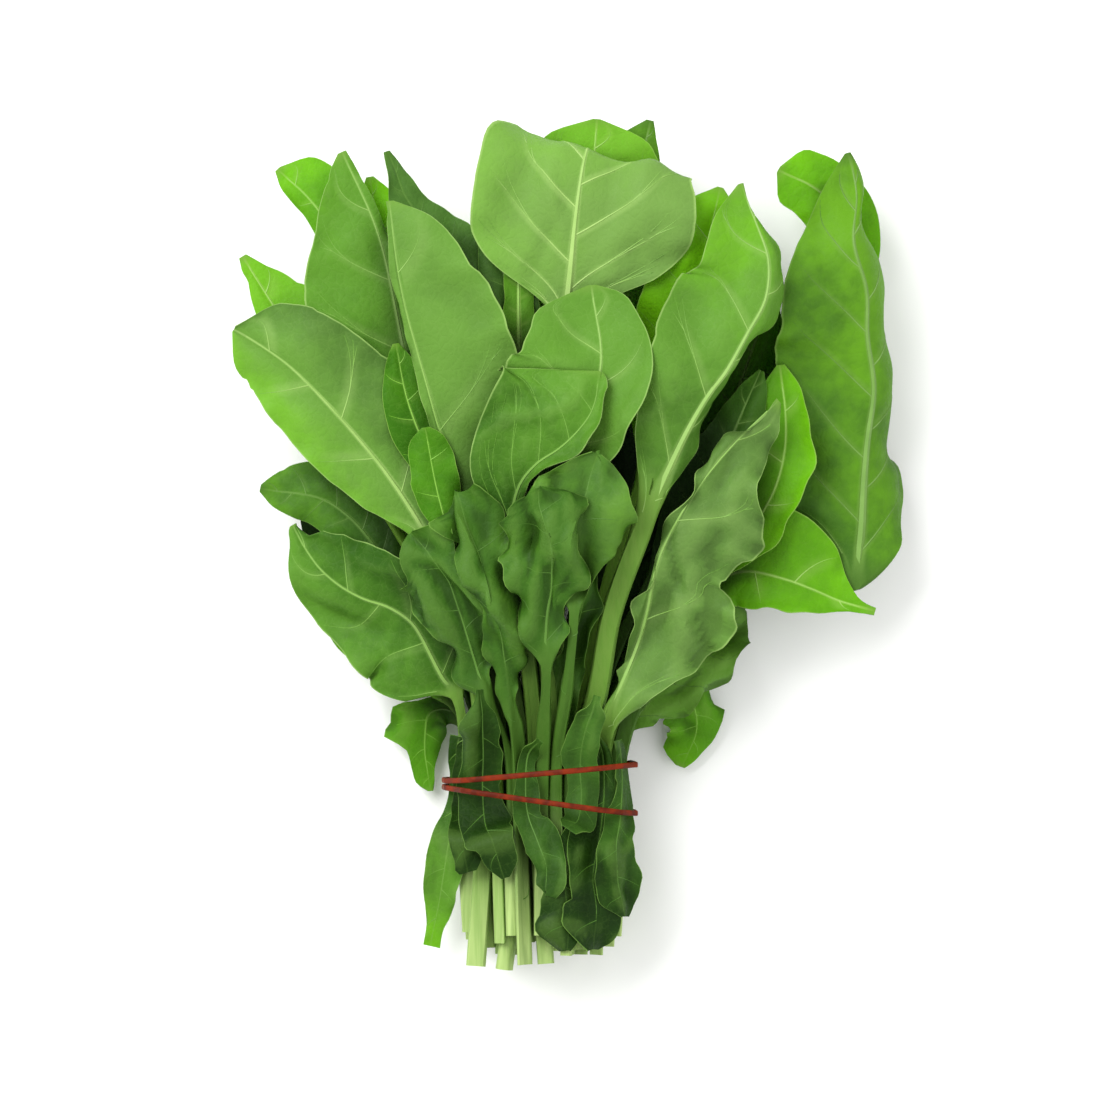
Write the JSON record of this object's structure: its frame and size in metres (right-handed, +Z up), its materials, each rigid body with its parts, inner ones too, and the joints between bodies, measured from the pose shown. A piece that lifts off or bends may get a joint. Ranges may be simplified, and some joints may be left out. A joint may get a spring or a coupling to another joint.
{
  "type": "spinach bunch",
  "caption": "Bunch of fresh leafy greens with long pale stems, held by a rubber band wound twice round the stems, lying flat.",
  "frame": {"origin": "centre of the bunch's footprint, on the table that it lies on", "axes": "+Y along the bunch from the cut stems to the leaf tips, +X across it, +Z up from the table"},
  "size_m": [0.2246, 0.2846, 0.0757],
  "materials": {
    "leaf_dark": "matt dark green leaf",
    "leaf_middle": "matt middle green leaf",
    "leaf_bright": "thin bright green leaf",
    "rubber": "matt brick red rubber"
  },
  "bodies": {
    "root": {"under_left_wide": "leaf_dark", "under_right_wide": "leaf_dark", "under_left": "leaf_dark", "under_right": "leaf_dark", "under_middle": "leaf_dark", "inner_left_wide": "leaf_middle", "inner_right_wide": "leaf_middle", "inner_left": "leaf_dark", "inner_right": "leaf_dark", "inner_middle": "leaf_dark", "right_low_hanging": "leaf_bright", "right_low_lobed": "leaf_dark", "right_strip": "leaf_bright", "far_right_back": "leaf_bright", "far_right": "leaf_dark", "far_right_lip": "leaf_bright", "right_inner": "leaf_bright", "top_back_dark": "leaf_dark", "top_back": "leaf_bright", "right_bright": "leaf_bright", "right_dark": "leaf_dark", "left_low_lobed": "leaf_bright", "left_low_back": "leaf_bright", "left_point": "leaf_dark", "left_back_point": "leaf_bright", "left_back_flap": "leaf_bright", "left_lit": "leaf_bright", "left_folded": "leaf_middle", "left_low_big": "leaf_middle", "left_big": "leaf_middle", "left_twisted": "leaf_dark", "middle_back": "leaf_dark", "middle_point": "leaf_bright", "top_middle": "leaf_middle", "left_inner_small": "leaf_bright", "left_tall": "leaf_middle", "left_inner_round": "leaf_bright", "right_big": "leaf_middle", "right_wavy": "leaf_middle", "middle_round": "leaf_middle", "middle_front": "leaf_middle", "left_wilted_back": "leaf_dark", "left_wilted": "leaf_dark", "middle_strap": "leaf_dark", "middle_crumpled": "leaf_dark", "middle_wilted": "leaf_dark", "tail_right_low": "leaf_dark", "tail_right_back": "leaf_dark", "tail_right": "leaf_dark", "tail_left_winged": "leaf_middle", "tail_left": "leaf_dark", "tail_left_front": "leaf_dark", "tail_middle": "leaf_dark", "tie_front": "leaf_dark", "rubber_band": "rubber"}
  },
  "joints": []
}
